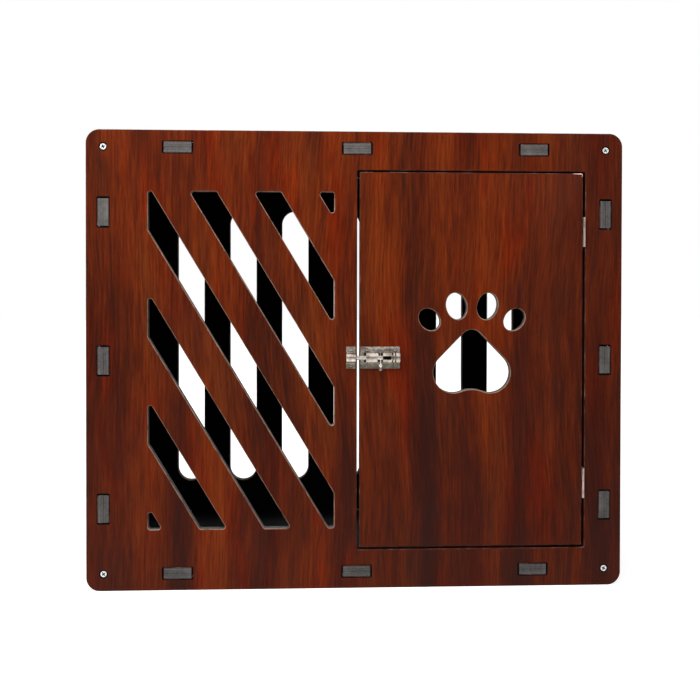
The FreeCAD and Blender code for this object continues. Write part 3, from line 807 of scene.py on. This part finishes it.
# The stem and collar take the painted highlight, the grip the painted reflection.
for face in turned.faces:
    face.material_index = int(face.calc_center_median().z > rod_axis.z - neck_depth)
knob_mesh = bpy.data.meshes.new("latch_knob_piece")
turned.to_mesh(knob_mesh)
turned.free()
knob_mesh.materials.append(grip_plating_shaded)
knob_mesh.materials.append(collar_plating_lit)
knob_mesh.shade_smooth()
knob_mesh.set_sharp_from_angle(angle=math.radians(50))
knob = bpy.data.objects.new("latch_knob_piece", knob_mesh)
bpy.context.scene.collection.objects.link(knob)
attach(knob, "knob")
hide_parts("latch_knob")


# Studio: a pale floor that runs out to white, a soft lamp above the front, weaker ones to the sides
# and one behind for the back and the roof. The camera stands 1.5 m from the front, at the height of
# the cabin's upper half.

floor_mesh = bpy.data.meshes.new("studio_floor")
floor_mesh.from_pydata([(-9, -9, 0), (9, -9, 0), (9, 9, 0), (-9, 9, 0)], [], [(0, 1, 2, 3)])
floor_piece = bpy.data.objects.new("studio_floor", floor_mesh)
bpy.context.scene.collection.objects.link(floor_piece)
floor_finish, floor_tree, floor_shader, floor_place = finish("pale_studio_floor", specular=0.0)
floor_shader.inputs["Base Color"].default_value = (0.55, 0.55, 0.55, 1.0)
floor_shader.inputs["Roughness"].default_value = 0.9
away_from_cabin = floor_tree.node("VectorMath", {"operation": "LENGTH"}, {0: floor_place}, output="Value")
far = away_from_cabin.between(1.2, 2.6)
seen = floor_tree.node("LightPath", output="Is Camera Ray")
mirrored = floor_tree.node("LightPath", output="Is Glossy Ray")
passed = floor_tree.node("LightPath", output="Is Transmission Ray")
near = 1 - away_from_cabin.between(0.3, 0.75)
shine = seen.maths("MAXIMUM", seen, passed) * (0.8 + far * 0.2) + mirrored * (0.22 + near * 0.46)
glow = floor_tree.node("Emission", inputs={"Color": (1.0, 1.0, 1.0, 1.0), "Strength": shine})
matte = Grain(floor_tree.tree, floor_shader.outputs[0])
lit_floor = floor_tree.node("AddShader", inputs={0: matte, 1: glow})
floor_output = floor_finish.node_tree.nodes["Material Output"]
floor_finish.node_tree.links.new(lit_floor.socket, floor_output.inputs["Surface"])
floor_mesh.materials.append(floor_finish)

world = bpy.data.worlds.new("studio")
world.use_nodes = True
bpy.context.scene.world = world
sky = Grain(world.node_tree)
ambient = world.node_tree.nodes["Background"]
ambient.inputs["Color"].default_value = (1.0, 1.0, 1.0, 1.0)
looking = sky.node("TexCoord", output="Generated")
behind = looking.part(1).between(-0.4, 0.3)
above = looking.part(2).between(0.15, 0.55)
seen = sky.node("LightPath", output="Is Camera Ray")
mirrored = sky.node("LightPath", output="Is Glossy Ray")
passed = sky.node("LightPath", output="Is Transmission Ray")
reflected = sky.maths("MAXIMUM", mirrored, passed)
background = sky.maths("MINIMUM", 0.2 + behind * 0.8 + above * 0.8, 1.0)
strength = 0.3 * (1 - seen) * (1 - reflected) + seen + reflected * (1 - seen) * background
world.node_tree.links.new(strength.socket, ambient.inputs["Strength"])


def lamp(name, place, target, width, height, power, mirrored=True):
    """A soft lamp that points at a target; mirrored says whether metal shows it."""
    light = bpy.data.lights.new(name, "AREA")
    light.shape = "RECTANGLE"
    light.size = width
    light.size_y = height
    light.energy = power
    holder = bpy.data.objects.new(name, light)
    holder.location = place
    holder.visible_glossy = mirrored
    holder.rotation_euler = (Vector(target) - Vector(place)).to_track_quat("-Z", "Y").to_euler()
    bpy.context.scene.collection.objects.link(holder)


lamp("overhead_softbox", (-0.4, -0.75, 1.3), (-0.1, -0.15, 0.5), 1.1, 0.5, 20.0, mirrored=False)
lamp("left_softbox", (-1.9, -1.7, 0.9), (0.0, -0.1, 0.3), 1.2, 1.6, 10.0)
lamp("right_softbox", (1.9, -1.8, 0.9), (0.0, -0.1, 0.3), 1.2, 1.6, 5.0)
lamp("rear_softbox", (0.3, 2.3, 1.5), (0.0, 0.1, 0.3), 1.8, 1.6, 26.0)

camera_place = (-0.06712, -1.69731, 0.39778)
yaw, pitch, roll = 0.0584, 0.0152, 0.0022
forward = Vector((math.sin(yaw) * math.cos(pitch), math.cos(yaw) * math.cos(pitch), -math.sin(pitch)))
level = forward.cross(Vector((0, 0, 1))).normalized()
upright = level.cross(forward)
right = level * math.cos(roll) + upright * math.sin(roll)
upright = right.cross(forward)
camera_data = bpy.data.cameras.new("studio_camera")
camera_data.sensor_width = 36.0
camera_data.lens = 61.41
camera_data.shift_x = -0.0342
camera_data.shift_y = -0.0805
camera = bpy.data.objects.new("studio_camera", camera_data)
turn = Matrix((right, upright, -forward)).transposed().to_4x4()
camera.matrix_world = Matrix.Translation(camera_place) @ turn
bpy.context.scene.collection.objects.link(camera)
bpy.context.scene.camera = camera
bpy.context.scene.view_settings.view_transform = "Standard"
